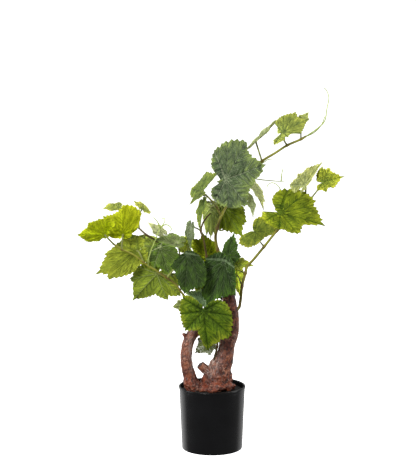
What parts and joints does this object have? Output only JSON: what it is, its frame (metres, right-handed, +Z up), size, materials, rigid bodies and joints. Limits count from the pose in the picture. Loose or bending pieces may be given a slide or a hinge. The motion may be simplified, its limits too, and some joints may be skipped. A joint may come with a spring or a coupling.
{
  "type": "potted grapevine",
  "caption": "Small artificial climbing grapevine with a gnarled trunk, slender shoots, tendrils and lobed leaves, standing in a plain black round pot.",
  "frame": {"origin": "centre of the flat underside of the pot", "axes": "+Z up through the pot's axis, +X to the viewer's right, -Y towards the viewer of the picture"},
  "size_m": [0.4611, 0.2111, 0.6437],
  "materials": {
    "pot": "satin moulded",
    "potting_fill": "rough, unglazed",
    "trunk": "rough bark",
    "shoot_stem": "satin",
    "shoot_stem_dark": "satin",
    "leaf_blue": "printed cloth, matte",
    "leaf_green": "printed cloth, matte",
    "leaf_lime": "printed cloth, matte",
    "leaf_dark": "printed cloth, matte",
    "leaf_olive": "printed cloth, matte"
  },
  "bodies": {
    "root": {"pot": "pot", "potting_fill": "potting_fill", "trunk": "trunk", "shoot_top": "shoot_stem", "shoot_inner": "shoot_stem_dark", "shoot_left": "shoot_stem", "shoot_left_upper": "shoot_stem_dark", "shoot_right": "shoot_stem", "shoot_low": "shoot_stem_dark", "crown_leaf_1": "leaf_blue", "crown_leaf_2": "leaf_green", "crown_leaf_3": "leaf_green", "crown_leaf_4": "leaf_green", "crown_leaf_5": "leaf_dark", "crown_leaf_6": "leaf_green", "crown_leaf_7": "leaf_green", "crown_leaf_8": "leaf_green", "crown_leaf_9": "leaf_lime", "crown_leaf_10": "leaf_lime", "crown_leaf_11": "leaf_green", "crown_leaf_12": "leaf_green", "left_leaf_1": "leaf_lime", "left_leaf_2": "leaf_lime", "left_leaf_3": "leaf_lime", "left_leaf_4": "leaf_lime", "left_leaf_5": "leaf_lime", "left_leaf_6": "leaf_green", "left_leaf_7": "leaf_lime", "left_leaf_8": "leaf_dark", "left_leaf_9": "leaf_dark", "left_leaf_10": "leaf_olive", "mid_leaf_1": "leaf_dark", "mid_leaf_2": "leaf_dark", "mid_leaf_3": "leaf_dark", "mid_leaf_4": "leaf_olive", "mid_leaf_5": "leaf_lime", "mid_leaf_6": "leaf_lime", "mid_leaf_7": "leaf_green", "mid_leaf_8": "leaf_green", "mid_leaf_9": "leaf_blue", "mid_leaf_10": "leaf_green", "mid_leaf_11": "leaf_olive", "right_leaf_1": "leaf_lime", "right_leaf_2": "leaf_green", "right_leaf_3": "leaf_lime", "right_leaf_4": "leaf_lime", "back_leaf_1": "leaf_blue", "back_leaf_2": "leaf_green", "back_leaf_3": "leaf_dark", "back_leaf_4": "leaf_green", "back_leaf_5": "leaf_lime", "back_leaf_6": "leaf_green", "back_leaf_7": "leaf_dark"}
  },
  "joints": []
}
